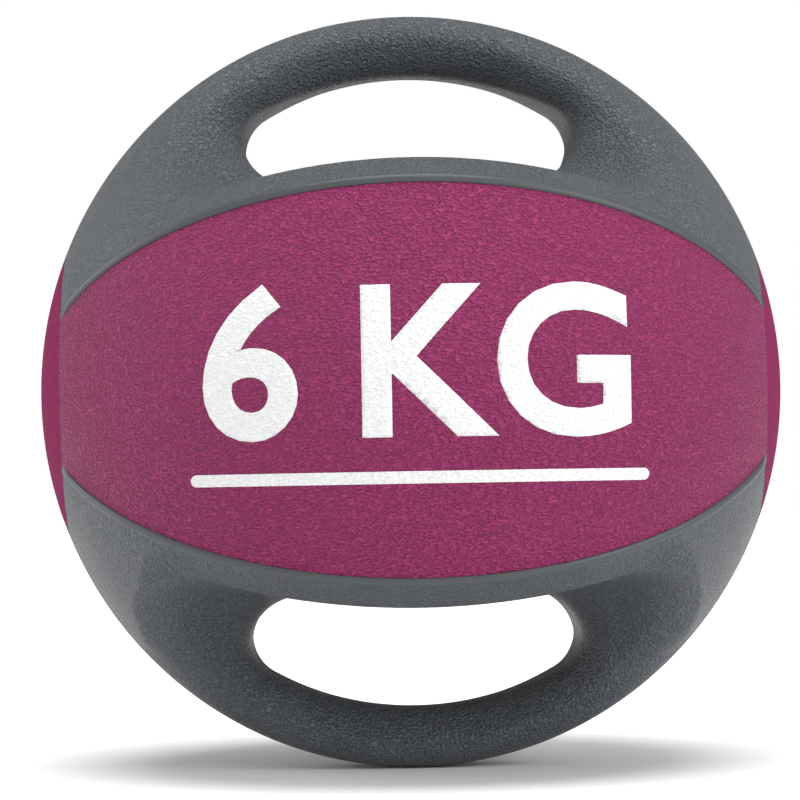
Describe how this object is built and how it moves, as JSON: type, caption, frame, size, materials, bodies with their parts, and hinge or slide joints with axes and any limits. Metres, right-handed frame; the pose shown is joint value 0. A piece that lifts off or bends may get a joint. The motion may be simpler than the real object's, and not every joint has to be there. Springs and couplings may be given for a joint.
{
  "type": "medicine ball",
  "caption": "Weighted rubber exercise ball with a moulded hand grip and through slot at its top and bottom and coloured panels front and rear.",
  "frame": {"origin": "centre of the ball", "axes": "+Z from the centre through the middle of the upper grip, +X through the right side cap, front panel facing -Y"},
  "size_m": [0.272, 0.272, 0.2762],
  "materials": {
    "panel_rubber": "satin",
    "grip_rubber": "satin",
    "core_rubber": "matte",
    "bar_nylon": "matte",
    "bag_rubber": "matte",
    "grit": "matte",
    "plug_rubber": "matte"
  },
  "bodies": {
    "root": {"front_panel": "panel_rubber", "rear_panel": "panel_rubber", "left_side_cap": "panel_rubber", "right_side_cap": "panel_rubber", "upper_grip": "grip_rubber", "lower_grip": "grip_rubber", "front_core_half": "core_rubber", "rear_core_half": "core_rubber", "upper_grip_bar": "bar_nylon", "lower_grip_bar": "bar_nylon", "ballast_bag": "bag_rubber", "ballast_grit": "grit", "fill_neck": "plug_rubber", "fill_plug": "plug_rubber"}
  },
  "joints": []
}
